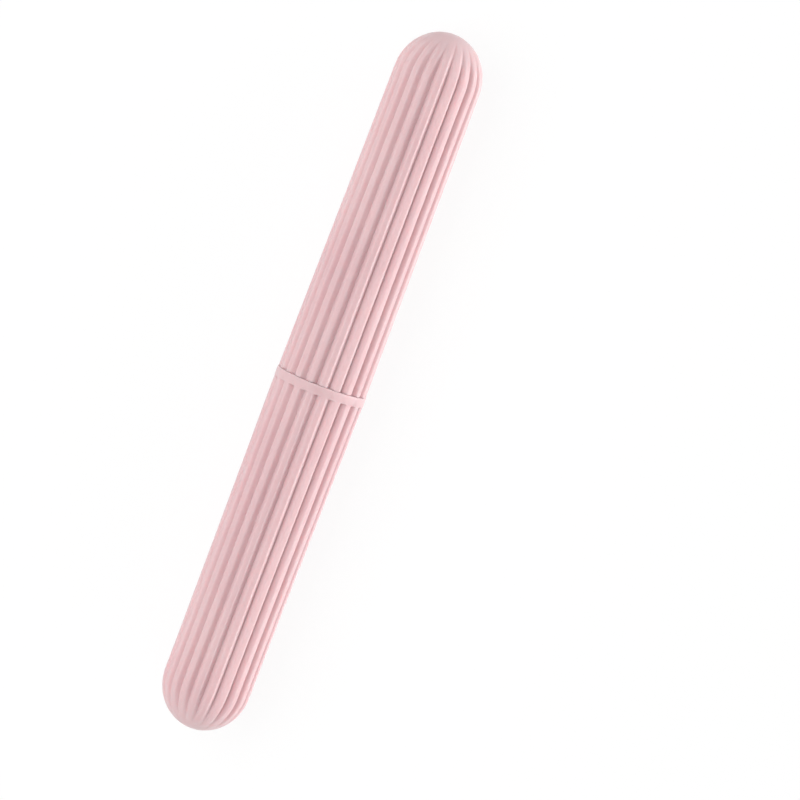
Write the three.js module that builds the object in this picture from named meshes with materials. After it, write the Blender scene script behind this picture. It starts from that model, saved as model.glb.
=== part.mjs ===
// A ribbed travel case for one toothbrush: two moulded tubes, each closed by a dome, that push together.
// Millimetres, +Z up. The case lies along X with its cap towards +X. The origin is on the surface under the
// case, below the middle of the joint.

import * as THREE from 'three';

// The outside
const caseLength = 205;         // over both domes
const jointDiameter = 26;       // over the flats of the band
const bandStep = 0.2;           // how far the band stands proud of the cap's rib crests
const domeDiameter = 24.75;     // over the rib crests where each dome begins
const partingGap = 0.3;         // the hairline between the cap's rim and the base's shoulder
const bandWidth = 2.5;          // the plain ring at the base's shoulder
const rimChamfer = 0.3;         // outer edges of the cap's rim and of the band
const capTurn = -6.1;           // degrees about +X from the base's ribs to the cap's, as the case lies

// The ribs and the grooves between them
const ribCount = 20;
const grooveWidth = 2.8;        // at the crests
const grooveFloorWidth = 0.6;
const grooveDepth = 1.4;
const grooveRunout = 0.4;       // length over which a groove rises to the band
const fadeFrom = 86;            // degrees from the dome's pole, where a groove starts to fade
const fadeTo = 24;              // degrees from the pole, where it is gone

// The push fit
const neckLength = 14;          // from the middle of the joint to the neck's end
const neckWall = 0.9;
const neckChamfer = 0.4;        // lead-in at the neck's end
const beadHeight = 0.2;         // the friction bead around the neck
const beadWidth = 2.4;
const beadPlace = 9;            // from the middle of the joint to the bead's crest
const beadClearance = 0.1;      // between the bead and the socket
const socketWall = 0.7;         // what is left of the cap under its grooves, at the rim
const socketClearance = 0.4;    // between the neck's end and the socket's floor
const socketStep = 0.5;         // height of the socket's floor
const mouthChamfer = 0.3;       // lead-in at the socket's mouth

// The walls, measured under the grooves where each dome begins
const baseWall = 1.7;
const capWall = 1;

// Facets on each dome, from its pole to its edge, and round each plain ring
const outerDomeSteps = 9;
const innerDomeSteps = 6;
const flatShare = 0.95;         // of a groove's width, that a flat of a plain ring takes

// Angles of the four edges of one groove from its middle, and of the same four columns on a plain ring, where
// the inner two are spread so that the ring has broad flats
const ribPitch = 2 * Math.PI / ribCount;
const edgeAngle = Math.asin(grooveWidth / jointDiameter);
const floorAngle = Math.asin(grooveFloorWidth / jointDiameter);
const flatAngle = edgeAngle * flatShare;
const grooveAngles = [-edgeAngle, -floorAngle, floorAngle, edgeAngle];
const plainAngles = [-edgeAngle, -flatAngle, flatAngle, edgeAngle];
const isFloor = [false, true, true, false];

// The case rests on a flat of the band, which lies across the foot of a groove.
const axisHeight = jointDiameter / 2;
const jointRadius = axisHeight / Math.cos(flatAngle);
const capRadius = axisHeight - bandStep;
const domeRadius = domeDiameter / 2;
const shoulderPlace = partingGap / 2;
const domePlace = caseLength / 2 - domeRadius;
const socketRadius = capRadius - grooveDepth - socketWall;
const beadRadius = socketRadius - beadClearance;
const neckRadius = beadRadius - beadHeight;
const neckBore = neckRadius - neckWall;
const socketFloor = neckLength + socketClearance;

// A point of a tube's outline: its radius, its place along the tube from the joint towards the dome, and how
// much of the groove's depth is cut there, from 0 to 1.
function point(radius, place, groove = 0) {
  return { radius, place, groove };
}

function outerDome() {
  const points = [];
  for (let step = 0; step <= outerDomeSteps; step += 1) {
    const fromPole = 90 * (1 - step / outerDomeSteps);
    const angle = THREE.MathUtils.degToRad(fromPole);
    const groove = THREE.MathUtils.smoothstep(fromPole, fadeTo, fadeFrom);
    points.push(point(domeRadius * Math.sin(angle), domePlace + domeRadius * Math.cos(angle), groove));
  }
  return points;
}

function innerDome(radius) {
  const points = [];
  for (let step = 0; step <= innerDomeSteps; step += 1) {
    const angle = Math.PI / 2 * step / innerDomeSteps;
    points.push(point(radius * Math.sin(angle), domePlace + radius * Math.cos(angle)));
  }
  return points;
}

// Turns an outline about the tube's axis, with one column of points for each edge of each groove, and presses
// the grooves into it.
function ribbedTube(outline) {
  const profile = outline.map(({ radius, place }) => new THREE.Vector2(radius, place));
  const columns = ribCount * grooveAngles.length;
  const geometry = new THREE.LatheGeometry(profile, columns);
  const position = geometry.getAttribute('position');
  for (let index = 0; index < position.count; index += 1) {
    const { radius, place, groove } = outline[index % outline.length];
    const column = Math.floor(index / outline.length) % columns;
    const edge = column % grooveAngles.length;
    const rib = Math.floor(column / grooveAngles.length);
    const angle = rib * ribPitch + THREE.MathUtils.lerp(plainAngles[edge], grooveAngles[edge], groove);
    const depth = isFloor[edge] ? groove * grooveDepth : 0;
    position.setXYZ(index, (radius - depth) * Math.sin(angle), place, (radius - depth) * Math.cos(angle));
  }
  geometry.computeVertexNormals();
  return geometry;
}

// Closed at the dome, with the band at its shoulder and the neck standing out of it
function baseOutline() {
  const boreEnd = domeRadius - grooveDepth - baseWall;
  const bandEnd = shoulderPlace + bandWidth;
  const grooveFull = bandEnd + grooveRunout;
  const baseRadius = THREE.MathUtils.mapLinear(grooveFull, bandEnd, domePlace, jointRadius, domeRadius);
  return [
    ...innerDome(boreEnd),
    point(neckBore, -neckLength),
    point(neckRadius - neckChamfer, -neckLength),
    point(neckRadius, -neckLength + neckChamfer),
    point(neckRadius, -beadPlace - beadWidth / 2),
    point(beadRadius, -beadPlace),
    point(neckRadius, -beadPlace + beadWidth / 2),
    point(neckRadius, shoulderPlace),
    point(jointRadius - rimChamfer, shoulderPlace),
    point(jointRadius, shoulderPlace + rimChamfer),
    point(jointRadius, bandEnd),
    point(baseRadius, grooveFull, 1),
    ...outerDome(),
  ];
}

// Closed at the dome, with the socket for the neck in its mouth and its grooves running out at the rim
function capOutline() {
  const boreEnd = domeRadius - grooveDepth - capWall;
  return [
    ...innerDome(boreEnd),
    point(socketRadius - socketStep, socketFloor),
    point(socketRadius, socketFloor),
    point(socketRadius, shoulderPlace + mouthChamfer),
    point(socketRadius + mouthChamfer, shoulderPlace),
    point(capRadius - rimChamfer, shoulderPlace, 1),
    point(capRadius, shoulderPlace + rimChamfer, 1),
    ...outerDome(),
  ];
}

const pinkPlastic = new THREE.MeshStandardMaterial({ color: '#e6c2c6', roughness: 0.55, metalness: 0 });

// A tube is turned about Y, from the joint up to its dome, and then laid along X.
const baseShell = new THREE.Mesh(ribbedTube(baseOutline()), pinkPlastic.clone());
baseShell.name = 'base_shell';
baseShell.rotation.z = Math.PI / 2;

const capShell = new THREE.Mesh(ribbedTube(capOutline()), pinkPlastic.clone());
capShell.name = 'cap_shell';
capShell.rotation.z = -Math.PI / 2;

const turnedCap = new THREE.Group();
turnedCap.rotation.x = THREE.MathUtils.degToRad(capTurn);
turnedCap.add(capShell);

const toothbrushCase = new THREE.Group();
toothbrushCase.position.z = axisHeight;
toothbrushCase.add(baseShell, turnedCap);

export default toothbrushCase;
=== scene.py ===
# Ribbed toothbrush case: two moulded shells in pale pink satin plastic, lying on a white table
import math

import bpy
from mathutils import Matrix, Vector


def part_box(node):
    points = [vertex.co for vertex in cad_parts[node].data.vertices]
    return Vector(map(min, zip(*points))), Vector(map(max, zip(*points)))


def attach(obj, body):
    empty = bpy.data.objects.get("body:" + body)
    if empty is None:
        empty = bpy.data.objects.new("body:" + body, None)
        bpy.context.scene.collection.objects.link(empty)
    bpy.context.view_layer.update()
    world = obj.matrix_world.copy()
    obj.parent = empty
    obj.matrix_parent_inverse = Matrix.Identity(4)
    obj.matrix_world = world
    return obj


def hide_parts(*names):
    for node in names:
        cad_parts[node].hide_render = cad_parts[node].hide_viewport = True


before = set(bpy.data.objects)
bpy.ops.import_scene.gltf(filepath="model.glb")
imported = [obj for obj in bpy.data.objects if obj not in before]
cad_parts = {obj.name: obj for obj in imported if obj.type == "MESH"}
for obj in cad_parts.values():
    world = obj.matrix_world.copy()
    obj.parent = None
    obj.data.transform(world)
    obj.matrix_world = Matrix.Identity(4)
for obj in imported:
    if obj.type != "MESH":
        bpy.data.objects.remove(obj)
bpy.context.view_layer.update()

mm = 0.001
print("frame loaded:", ", ".join(sorted(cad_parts)))

# What the frame gives, in metres: the case lies along X, and its joint is at x = 0
baseLow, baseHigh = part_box("base_shell")
axisHeight = (baseLow.z + baseHigh.z) / 2
bandRadius = (baseHigh.z - baseLow.z) / 2
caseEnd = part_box("cap_shell")[1].x
neckEnd = baseHigh.x

# The outside that both shells share
body = {
    "domeRadius": 12.375 * mm,    # where each dome begins; the sides taper to it from the joint
    "domeLength": 13.4 * mm,      # from there to the dome's pole
    "taperCurve": 1.4,            # over 1, the taper is steeper near the joint
    "bodyStep": 6 * mm,           # from one row of faces to the next
    "domeStep": 2.5,              # the same on the domes, in degrees
    "edgeRound": 0.18 * mm,
    "edgeSteps": 5,
    "hairline": 0.06 * mm,        # between the cap's rim and the base's shoulder
    "weld": 0.001 * mm,           # points closer than this are one: the seam and the poles
}

# The grooves between the ribs
ribs = {
    "count": 20,
    "columnsPerRib": 24,          # of faces
    "grooveWidth": 2.8 * mm,      # crest to crest, at the joint
    "bottomRound": 0.3 * mm,      # radius along the groove's bottom
    "shoulder": 1.65,             # over 1, the ribs' shoulders are round
    "depth": 1.4 * mm,
    "fadeFrom": 86,               # degrees from the dome's pole, where a groove starts to fade
    "fadeTo": 24,                 # and where it is gone
}

# The push fit between the two shells
fit = {
    "socketRadius": 10.7 * mm,
    "beadRadius": 10.6 * mm,
    "neckRadius": 10.4 * mm,
    "neckBore": 9.5 * mm,
    "beadPlace": 9 * mm,
    "beadWidth": 2.4 * mm,
    "beadSteps": 8,
    "socketFloor": 14.4 * mm,
    "socketStep": 0.5 * mm,
    "leadIn": 0.35 * mm,          # round of the neck's end and of the socket's mouth
}

# Places along a shell, from the middle of the joint
domePlace = caseEnd - body["domeLength"]
shoulderPlace = body["hairline"] / 2    # the cap's rim, or the base's shoulder


# Small helpers

def hexColour(text):
    channels = [int(text[i:i + 2], 16) / 255 for i in (1, 3, 5)]
    linear = [c / 12.92 if c <= 0.04045 else ((c + 0.055) / 1.055) ** 2.4 for c in channels]
    return (*linear, 1.0)


def addNode(tree, kind, links=None, **settings):
    node = tree.nodes.new(kind)
    for name, value in settings.items():
        setattr(node, name, value)
    for key, source in (links or {}).items():
        if isinstance(source, bpy.types.NodeSocket):
            tree.links.new(source, node.inputs[key])
        else:
            node.inputs[key].default_value = source
    return node


def smoothStep(low, high, value):
    share = min(max((value - low) / (high - low), 0.0), 1.0)
    return share * share * (3 - 2 * share)


# Moulded polypropylene with a fine spark-eroded texture: soft, wide highlights, no clear coat, a colour that
# runs all through it, and rib crests that hands have rubbed a little smoother than the grooves
satinPlastic = {
    "colour": "#e5c5c8",
    "paler": "#e8cacc",
    "ior": 1.49,
    "scatter": 1.4 * mm,          # how far light spreads inside it
    "scatterShare": (1.0, 0.8, 0.78),    # of that, for red, green and blue
    "roughGroove": 0.58,
    "roughCrest": 0.46,
    "grainSize": 0.35 * mm,       # the real texture is about 0.05 mm, drawn coarser so that it shows
    "grainDepth": 0.012 * mm,
    "grainDetail": 1.0,
    "flowSize": 28 * mm,          # faint clouds left by the melt's flow
    "flowDetail": 2.0,
    "flowRoughness": 0.45,
    "flowLow": 0.35,              # at this level of the clouds the colour is plain
    "flowHigh": 0.65,             # and at this one it is the paler one
}


def makeSatinPlastic(look):
    material = bpy.data.materials.new("satinPolypropylene")
    material.use_nodes = True
    tree = material.node_tree
    tree.nodes.clear()
    place = addNode(tree, "ShaderNodeTexCoord").outputs["Object"]
    flow = addNode(tree, "ShaderNodeTexNoise", {
        "Vector": place, "Scale": 1 / look["flowSize"], "Detail": look["flowDetail"],
        "Roughness": look["flowRoughness"]})
    cloud = addNode(tree, "ShaderNodeMapRange", {
        "Value": flow.outputs[0], "From Min": look["flowLow"], "From Max": look["flowHigh"]})
    colour = addNode(tree, "ShaderNodeMix", {
        "Factor": cloud.outputs[0], 6: hexColour(look["colour"]), 7: hexColour(look["paler"])},
        data_type="RGBA")
    crest = addNode(tree, "ShaderNodeAttribute", attribute_name="crest")
    rubbed = addNode(tree, "ShaderNodeMapRange", {
        "Value": crest.outputs["Fac"], "To Min": look["roughGroove"], "To Max": look["roughCrest"]})
    grain = addNode(tree, "ShaderNodeTexNoise", {
        "Vector": place, "Scale": 1 / look["grainSize"], "Detail": look["grainDetail"]})
    bump = addNode(tree, "ShaderNodeBump", {
        "Strength": 1.0, "Distance": look["grainDepth"], "Height": grain.outputs[0]})
    shader = addNode(tree, "ShaderNodeBsdfPrincipled", {
        "Base Color": colour.outputs[2], "Roughness": rubbed.outputs[0], "IOR": look["ior"],
        "Subsurface Weight": 1.0, "Subsurface Radius": look["scatterShare"],
        "Subsurface Scale": look["scatter"], "Normal": bump.outputs[0]})
    addNode(tree, "ShaderNodeOutputMaterial", {"Surface": shader.outputs[0]})
    return material


# An outline is a row of points from the bore's end round the mouth to the dome's pole. Each has its place
# along the shell from the joint, its radius, and the depth and half width of the grooves there.

def plain(place, radius):
    return (place, radius, 0.0, 0.0)


def domeAngles():
    steps = round(90 / body["domeStep"])
    return [math.radians(90 * step / steps) for step in range(steps + 1)]


def rounded(place, radius, turnFrom, turnTo, size):
    # A rounded edge about a centre, between two angles from the axis, in degrees
    points = []
    for step in range(body["edgeSteps"] + 1):
        angle = math.radians(turnFrom + (turnTo - turnFrom) * step / body["edgeSteps"])
        points.append((place + size * math.cos(angle), radius + size * math.sin(angle)))
    return points


def sideRadius(place, rimRadius):
    left = (domePlace - place) / (domePlace - shoulderPlace)
    return body["domeRadius"] + (rimRadius - body["domeRadius"]) * left ** body["taperCurve"]


def rows(start, end, step):
    count = max(1, round(abs(end - start) / step))
    return [start + (end - start) * i / count for i in range(count + 1)]


def bore(endRadius, mouthPlace, mouthRadius):
    # From the inner dome's pole to the bore's mouth
    length = endRadius + body["domeLength"] - body["domeRadius"]
    points = [plain(domePlace + length * math.cos(a), endRadius * math.sin(a)) for a in domeAngles()]
    for place in rows(domePlace, mouthPlace, body["bodyStep"])[1:]:
        share = (place - domePlace) / (mouthPlace - domePlace)
        points.append(plain(place, endRadius + (mouthRadius - endRadius) * share))
    return points


def ribbedSide(start, rimRadius):
    # From where the grooves have their full shape to the dome's pole
    half = ribs["grooveWidth"] / 2
    points = []
    for place in rows(start, domePlace, body["bodyStep"])[1:-1]:
        points.append((place, sideRadius(place, rimRadius), ribs["depth"], half))
    for angle in reversed(domeAngles()):
        fade = smoothStep(ribs["fadeTo"], ribs["fadeFrom"], math.degrees(angle))
        points.append((
            domePlace + body["domeLength"] * math.cos(angle),
            body["domeRadius"] * math.sin(angle),
            ribs["depth"] * fade,
            half,
        ))
    return points


baseShell = {
    "bandWidth": 2.5 * mm,
    "grooveEnd": 0.4 * mm,        # a groove's blunt end at the band
    "grooveEndSteps": 8,
    "grooveEndPower": 3,          # 2 gives half an ellipse, and more is blunter
    "boreEnd": 9.275 * mm,        # radius where the inner dome begins
    "turn": 0.0,                  # degrees, of the ribs about the axis
    "side": -1,                   # the way from the joint to the dome, along X
}


def baseOutline(look):
    edge = body["edgeRound"]
    bandEnd = shoulderPlace + look["bandWidth"]
    half = ribs["grooveWidth"] / 2
    points = bore(look["boreEnd"], -neckEnd, fit["neckBore"])
    tip = fit["leadIn"]
    points += [plain(*p) for p in rounded(-neckEnd + tip, fit["neckRadius"] - tip, 180, 90, tip)]
    bead = fit["beadRadius"] - fit["neckRadius"]
    for step in range(fit["beadSteps"] + 1):
        share = step / fit["beadSteps"]
        place = -fit["beadPlace"] + (share - 0.5) * fit["beadWidth"]
        points.append(plain(place, fit["neckRadius"] + bead * math.sin(math.pi * share) ** 2))
    points.append(plain(shoulderPlace, fit["neckRadius"]))
    points += [plain(*p) for p in rounded(shoulderPlace + edge, bandRadius - edge, 180, 90, edge)]
    points.append(plain(bandEnd, bandRadius))
    power = look["grooveEndPower"]
    for step in range(1, look["grooveEndSteps"] + 1):
        share = step / look["grooveEndSteps"]
        place = bandEnd + look["grooveEnd"] * share
        depth = ribs["depth"] * smoothStep(0, 1, share)
        blunt = (1 - (1 - share) ** power) ** (1 / power)
        points.append((place, sideRadius(place, bandRadius), depth, half * blunt))
    return points + ribbedSide(bandEnd + look["grooveEnd"], bandRadius)


capShell = {
    "rimRadius": 12.8 * mm,       # a little under the band's, which stands proud of it
    "ribEndRound": 0.7 * mm,      # corners of the ribs' ends at the rim
    "ribEndSteps": 8,
    "boreEnd": 9.975 * mm,
    "turn": 6.1,                  # degrees, of the ribs about the axis against the base's
    "side": 1,
}


def capOutline(look):
    edge = body["edgeRound"]
    half = ribs["grooveWidth"] / 2
    reach = look["ribEndRound"]

    def ribbed(place, radius):
        near = max(0.0, 1 - (place - shoulderPlace) / reach)
        return (place, radius, ribs["depth"], half + reach * (1 - math.sqrt(1 - near * near)))

    points = bore(look["boreEnd"], fit["socketFloor"], fit["socketRadius"] - fit["socketStep"])
    points.append(plain(fit["socketFloor"], fit["socketRadius"]))
    lead = fit["leadIn"]
    points += [plain(*p) for p in rounded(shoulderPlace + lead, fit["socketRadius"] + lead, 270, 180, lead)]
    rim = look["rimRadius"]
    points += [ribbed(*p) for p in rounded(shoulderPlace + edge, rim - edge, 180, 90, edge)]
    for place in rows(shoulderPlace + edge, shoulderPlace + reach, reach / look["ribEndSteps"])[1:]:
        points.append(ribbed(place, sideRadius(place, rim)))
    return points + ribbedSide(shoulderPlace + reach, rim)


# The tree turns an outline about the case's axis and presses the grooves into it.

def ribbedShellTree():
    tree = bpy.data.node_groups.new("ribbedShell", "GeometryNodeTree")
    sockets = tree.interface
    sockets.new_socket("Outline", in_out="INPUT", socket_type="NodeSocketGeometry")
    for name in ("Rib Count", "Columns Per Rib"):
        sockets.new_socket(name, in_out="INPUT", socket_type="NodeSocketInt")
    for name in (
            "Joint Radius", "Bottom Round", "Shoulder", "Groove Depth",
            "Axis Height", "Side", "Turn", "Weld"):
        sockets.new_socket(name, in_out="INPUT", socket_type="NodeSocketFloat")
    sockets.new_socket("Plastic", in_out="INPUT", socket_type="NodeSocketMaterial")
    sockets.new_socket("Shell", in_out="OUTPUT", socket_type="NodeSocketGeometry")
    given = addNode(tree, "NodeGroupInput").outputs

    # A sheet with one row for each point of the outline and one column for each step round the axis
    size = addNode(tree, "GeometryNodeAttributeDomainSize", {
        "Geometry": given["Outline"]}, component="MESH")
    steps = addNode(tree, "ShaderNodeMath", {
        0: given["Rib Count"], 1: given["Columns Per Rib"]}, operation="MULTIPLY")
    columns = addNode(tree, "ShaderNodeMath", {0: steps.outputs[0], 1: 1.0}, operation="ADD")
    sheet = addNode(tree, "GeometryNodeMeshGrid", {
        "Vertices X": size.outputs["Point Count"], "Vertices Y": columns.outputs[0]})
    index = addNode(tree, "GeometryNodeInputIndex").outputs[0]
    ratio = addNode(tree, "ShaderNodeMath", {0: index, 1: columns.outputs[0]}, operation="DIVIDE")
    row = addNode(tree, "ShaderNodeMath", {0: ratio.outputs[0]}, operation="FLOOR")
    column = addNode(tree, "ShaderNodeMath", {0: index, 1: columns.outputs[0]}, operation="MODULO")

    # What the outline says at this row
    outlinePlace = addNode(tree, "GeometryNodeSampleIndex", {
        "Geometry": given["Outline"], "Value": addNode(tree, "GeometryNodeInputPosition").outputs[0],
        "Index": row.outputs[0]}, data_type="FLOAT_VECTOR")
    split = addNode(tree, "ShaderNodeSeparateXYZ", {0: outlinePlace.outputs[0]})
    depth, half = [
        addNode(tree, "GeometryNodeSampleIndex", {
            "Geometry": given["Outline"],
            "Value": addNode(tree, "GeometryNodeInputNamedAttribute", {"Name": name}).outputs[0],
            "Index": row.outputs[0]}, data_type="FLOAT")
        for name in ("grooveDepth", "grooveHalf")]

    # How far this column is from the middle of its groove, measured round the joint
    turns = addNode(tree, "ShaderNodeMath", {0: column.outputs[0], 1: steps.outputs[0]}, operation="DIVIDE")
    angle = addNode(tree, "ShaderNodeMath", {0: turns.outputs[0], 1: 2 * math.pi}, operation="MULTIPLY")
    pitch = addNode(tree, "ShaderNodeMath", {0: 2 * math.pi, 1: given["Rib Count"]}, operation="DIVIDE")
    halfPitch = addNode(tree, "ShaderNodeMath", {0: pitch.outputs[0], 1: 0.5}, operation="MULTIPLY")
    offset = addNode(tree, "ShaderNodeMath", {
        0: angle.outputs[0], 1: halfPitch.outputs[0]}, operation="PINGPONG")
    arc = addNode(tree, "ShaderNodeMath", {
        0: offset.outputs[0], 1: given["Joint Radius"]}, operation="MULTIPLY")

    # The groove is a V with a rounded bottom: 1 along its middle, 0 at its edges
    bottom = given["Bottom Round"]
    squared = addNode(tree, "ShaderNodeMath", {0: bottom, 1: bottom}, operation="MULTIPLY")
    risen = []
    for reach in (arc, half):
        square = addNode(tree, "ShaderNodeMath", {
            0: reach.outputs[0], 1: reach.outputs[0], 2: squared.outputs[0]}, operation="MULTIPLY_ADD")
        slant = addNode(tree, "ShaderNodeMath", {0: square.outputs[0]}, operation="SQRT")
        risen.append(addNode(tree, "ShaderNodeMath", {
            0: slant.outputs[0], 1: bottom}, operation="SUBTRACT"))
    wall = addNode(tree, "ShaderNodeMapRange", {
        "Value": risen[0].outputs[0], "From Min": 0.0, "From Max": risen[1].outputs[0],
        "To Min": 1.0, "To Max": 0.0})
    groove = addNode(tree, "ShaderNodeMath", {0: wall.outputs[0], 1: given["Shoulder"]}, operation="POWER")
    cut = addNode(tree, "ShaderNodeMath", {0: groove.outputs[0], 1: depth.outputs[0]}, operation="MULTIPLY")
    radius = addNode(tree, "ShaderNodeMath", {
        0: split.outputs["Z"], 1: cut.outputs[0]}, operation="SUBTRACT")

    # Into the case's own frame
    turned = addNode(tree, "ShaderNodeMath", {0: angle.outputs[0], 1: given["Turn"]}, operation="ADD")
    sine = addNode(tree, "ShaderNodeMath", {0: turned.outputs[0]}, operation="SINE")
    cosine = addNode(tree, "ShaderNodeMath", {0: turned.outputs[0]}, operation="COSINE")
    across = addNode(tree, "ShaderNodeMath", {
        0: radius.outputs[0], 1: sine.outputs[0]}, operation="MULTIPLY")
    sided = addNode(tree, "ShaderNodeMath", {0: across.outputs[0], 1: given["Side"]}, operation="MULTIPLY")
    up = addNode(tree, "ShaderNodeMath", {
        0: radius.outputs[0], 1: cosine.outputs[0], 2: given["Axis Height"]}, operation="MULTIPLY_ADD")
    along = addNode(tree, "ShaderNodeMath", {0: split.outputs["X"], 1: given["Side"]}, operation="MULTIPLY")
    place = addNode(tree, "ShaderNodeCombineXYZ", {
        "X": along.outputs[0], "Y": sided.outputs[0], "Z": up.outputs[0]})
    share = addNode(tree, "ShaderNodeMath", {
        0: cut.outputs[0], 1: given["Groove Depth"]}, operation="DIVIDE")
    crest = addNode(tree, "ShaderNodeMath", {0: 1.0, 1: share.outputs[0]}, operation="SUBTRACT")
    marked = addNode(tree, "GeometryNodeStoreNamedAttribute", {
        "Geometry": sheet.outputs["Mesh"], "Name": "crest", "Value": crest.outputs[0]},
        data_type="FLOAT", domain="POINT")
    shaped = addNode(tree, "GeometryNodeSetPosition", {
        "Geometry": marked.outputs[0], "Position": place.outputs[0]})
    closed = addNode(tree, "GeometryNodeMergeByDistance", {
        "Geometry": shaped.outputs[0], "Distance": given["Weld"]})
    smooth = addNode(tree, "GeometryNodeSetShadeSmooth", {"Geometry": closed.outputs[0]})
    real = addNode(tree, "GeometryNodeRealizeInstances", {"Geometry": smooth.outputs[0]})
    dressed = addNode(tree, "GeometryNodeSetMaterial", {
        "Geometry": real.outputs[0], "Material": given["Plastic"]})
    addNode(tree, "NodeGroupOutput", {"Shell": dressed.outputs[0]})
    return tree


def makeShell(name, look, outline, tree, plastic):
    mesh = bpy.data.meshes.new(name + "Outline")
    places, radii, depths, halves = zip(*outline)
    edges = [(i, i + 1) for i in range(len(outline) - 1)]
    mesh.from_pydata([(place, 0.0, radius) for place, radius in zip(places, radii)], edges, [])
    mesh.attributes.new("grooveDepth", "FLOAT", "POINT").data.foreach_set("value", depths)
    mesh.attributes.new("grooveHalf", "FLOAT", "POINT").data.foreach_set("value", halves)
    shell = bpy.data.objects.new(name, mesh)
    bpy.context.scene.collection.objects.link(shell)
    modifier = shell.modifiers.new("ribbedShell", "NODES")
    modifier.node_group = tree
    values = {
        "Rib Count": ribs["count"],
        "Columns Per Rib": ribs["columnsPerRib"],
        "Joint Radius": bandRadius,
        "Bottom Round": ribs["bottomRound"],
        "Shoulder": ribs["shoulder"],
        "Groove Depth": ribs["depth"],
        "Axis Height": axisHeight,
        "Side": float(look["side"]),
        "Turn": math.radians(look["turn"]),
        "Weld": body["weld"],
        "Plastic": plastic,
    }
    for socket in tree.interface.items_tree:
        if socket.in_out == "INPUT" and socket.name in values:
            modifier[socket.identifier] = values[socket.name]
    graph = bpy.context.evaluated_depsgraph_get()
    solid = bpy.data.meshes.new_from_object(
        shell.evaluated_get(graph), preserve_all_data_layers=True, depsgraph=graph)
    shell.modifiers.remove(modifier)
    shell.data = solid
    solid.name = name
    print(name, "has", len(solid.polygons), "faces")
    return shell


plastic = makeSatinPlastic(satinPlastic)
shellTree = ribbedShellTree()
base = makeShell("baseShell", baseShell, baseOutline(baseShell), shellTree, plastic)
cap = makeShell("capShell", capShell, capOutline(capShell), shellTree, plastic)
for shell, node, bodyName in ((base, "base_shell", "base"), (cap, "cap_shell", "cap")):
    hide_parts(node)
    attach(shell, bodyName)
print("shells made")


# The white table, the light and the camera

def whiteRays(tree):
    # 1 where a ray shows the table or the tent, straight or mirrored, and 0 where it only lights the case
    path = addNode(tree, "ShaderNodeLightPath").outputs
    seen = path["Is Camera Ray"]
    for kind in ("Is Glossy Ray", "Is Transmission Ray"):
        seen = addNode(tree, "ShaderNodeMath", {0: seen, 1: path[kind]}, operation="MAXIMUM").outputs[0]
    return seen


# Satin acrylic: an even white with a faint, soft shadow
stage = {
    "tableSize": 12.0,            # metres
    "tableColour": "#f4f4f4",
    "tableRoughness": 0.2,
    "tableIor": 1.49,
    "tableGlow": 0.88,            # the white that shows, however the table is lit
    "litShare": 0.15,             # of its lit colour, with the case's shadow, that shows with it
}


def makeTable(look):
    reach = look["tableSize"] / 2
    mesh = bpy.data.meshes.new("table")
    corners = [(-reach, -reach, 0), (reach, -reach, 0), (reach, reach, 0), (-reach, reach, 0)]
    mesh.from_pydata(corners, [], [(0, 1, 2, 3)])
    table = bpy.data.objects.new("table", mesh)
    bpy.context.scene.collection.objects.link(table)
    material = bpy.data.materials.new("satinAcrylic")
    material.use_nodes = True
    tree = material.node_tree
    tree.nodes.clear()
    lit = addNode(tree, "ShaderNodeBsdfPrincipled", {
        "Base Color": hexColour(look["tableColour"]), "Roughness": look["tableRoughness"],
        "IOR": look["tableIor"]})
    glow = addNode(tree, "ShaderNodeEmission", {"Strength": look["tableGlow"] / (1 - look["litShare"])})
    white = addNode(tree, "ShaderNodeMixShader", {
        0: look["litShare"], 1: glow.outputs[0], 2: lit.outputs[0]})
    surface = addNode(tree, "ShaderNodeMixShader", {
        0: whiteRays(tree), 1: lit.outputs[0], 2: white.outputs[0]})
    addNode(tree, "ShaderNodeOutputMaterial", {"Surface": surface.outputs[0]})
    mesh.materials.append(material)


# A light tent of white cloth, whose wall on the case's left is the brighter one
tent = {
    "leftWall": 0.68,
    "rightWall": 0.38,
}


def makeTent(look):
    world = bpy.data.worlds.new("lightTent")
    world.use_nodes = True
    tree = world.node_tree
    tree.nodes.clear()
    direction = addNode(tree, "ShaderNodeTexCoord").outputs["Generated"]
    side = addNode(tree, "ShaderNodeSeparateXYZ", {0: direction})
    cloth = addNode(tree, "ShaderNodeMapRange", {
        "Value": side.outputs["Y"], "From Min": -1.0,
        "To Min": look["rightWall"], "To Max": look["leftWall"]})
    strength = addNode(tree, "ShaderNodeMapRange", {
        "Value": whiteRays(tree), "To Min": cloth.outputs[0], "To Max": 1.0})
    light = addNode(tree, "ShaderNodeBackground", {"Color": (1, 1, 1, 1), "Strength": strength.outputs[0]})
    addNode(tree, "ShaderNodeOutputWorld", {"Surface": light.outputs[0]})
    bpy.context.scene.world = world


# Three softboxes: a strong one low on the case's right, a weaker one high on its left, and a weak one that
# fills in the base's dome. Degrees, metres and watts.
softboxes = {
    "rightSoftbox": {
        "azimuth": -74, "elevation": 3.5, "distance": 2.0,
        "width": 1.8, "height": 0.26, "power": 29,
    },
    "leftSoftbox": {
        "azimuth": 90, "elevation": 55, "distance": 1.0,
        "width": 1.2, "height": 0.7, "power": 5.0,
    },
    "endSoftbox": {
        "azimuth": -130, "elevation": 15, "distance": 1.5,
        "width": 1.0, "height": 0.6, "power": 3.0,
    },
}


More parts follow.
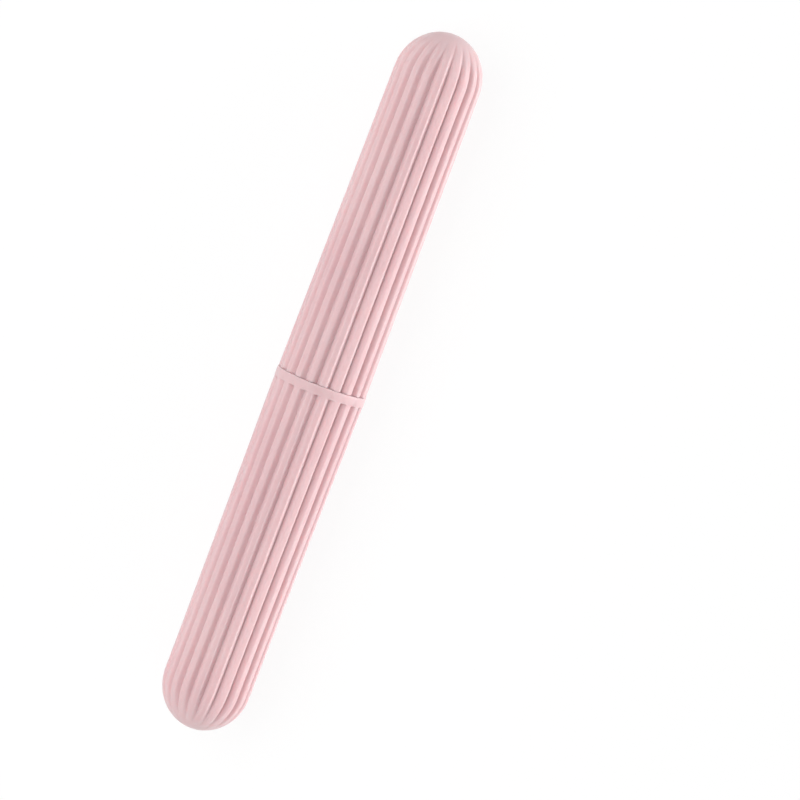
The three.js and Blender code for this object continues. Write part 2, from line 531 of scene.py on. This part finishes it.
def makeSoftbox(name, look):
    lamp = bpy.data.lights.new(name, "AREA")
    lamp.shape = "RECTANGLE"
    lamp.size = look["width"]
    lamp.size_y = look["height"]
    lamp.energy = look["power"]
    azimuth = math.radians(look["azimuth"])
    elevation = math.radians(look["elevation"])
    outward = Vector((
        math.cos(azimuth) * math.cos(elevation),
        math.sin(azimuth) * math.cos(elevation),
        math.sin(elevation),
    ))
    light = bpy.data.objects.new(name, lamp)
    light.location = Vector((0, 0, axisHeight)) + outward * look["distance"]
    light.rotation_euler = outward.to_track_quat("Z", "Y").to_euler()
    bpy.context.scene.collection.objects.link(light)


# Where the case lies in the picture, and where the camera stands
view = {
    "imageSize": 800,             # pixels
    "caseMiddle": (322.1, 381.6),    # pixels from the top left corner
    "caseLean": 20.88,            # degrees from upright to the case's axis, cap end up
    "millimetresPerPixel": 0.2750,
    "towardsCap": 5.8,            # degrees that the camera stands over towards the cap's end
    "towardsRight": -0.7,         # and towards the case's right side in the picture
    "distance": 6.0,              # metres, far enough for a flat perspective
    "clipEnd": 50,
    "sensor": 36.0,               # millimetres
}


def makeCamera(look):
    lean = math.radians(look["caseLean"])
    forward = -Vector((
        math.tan(math.radians(look["towardsCap"])),
        -math.tan(math.radians(look["towardsRight"])),
        1,
    )).normalized()
    axis = Vector((1, 0, 0))
    axisSeen = (axis - forward * axis.dot(forward)).normalized()
    beside = forward.cross(axisSeen)
    up = axisSeen * math.cos(lean) - beside * math.sin(lean)
    right = axisSeen * math.sin(lean) + beside * math.cos(lean)
    pixel = look["millimetresPerPixel"] * mm
    middleX, middleY = look["caseMiddle"]
    toRight = (look["imageSize"] / 2 - middleX) * pixel
    toTop = (middleY - look["imageSize"] / 2) * pixel
    target = Vector((0, 0, axisHeight)) + right * toRight + up * toTop
    lens = bpy.data.cameras.new("camera")
    lens.sensor_width = look["sensor"]
    lens.lens = look["sensor"] * look["distance"] / (look["imageSize"] * pixel)
    lens.clip_end = look["clipEnd"]
    camera = bpy.data.objects.new("camera", lens)
    turn = Matrix((right, up, -forward)).transposed().to_4x4()
    camera.matrix_world = Matrix.Translation(target - forward * look["distance"]) @ turn
    bpy.context.scene.collection.objects.link(camera)
    bpy.context.scene.camera = camera


makeTable(stage)
makeTent(tent)
for name, look in softboxes.items():
    makeSoftbox(name, look)
makeCamera(view)
bpy.context.scene.view_settings.view_transform = "Standard"
print("table, light and camera set")
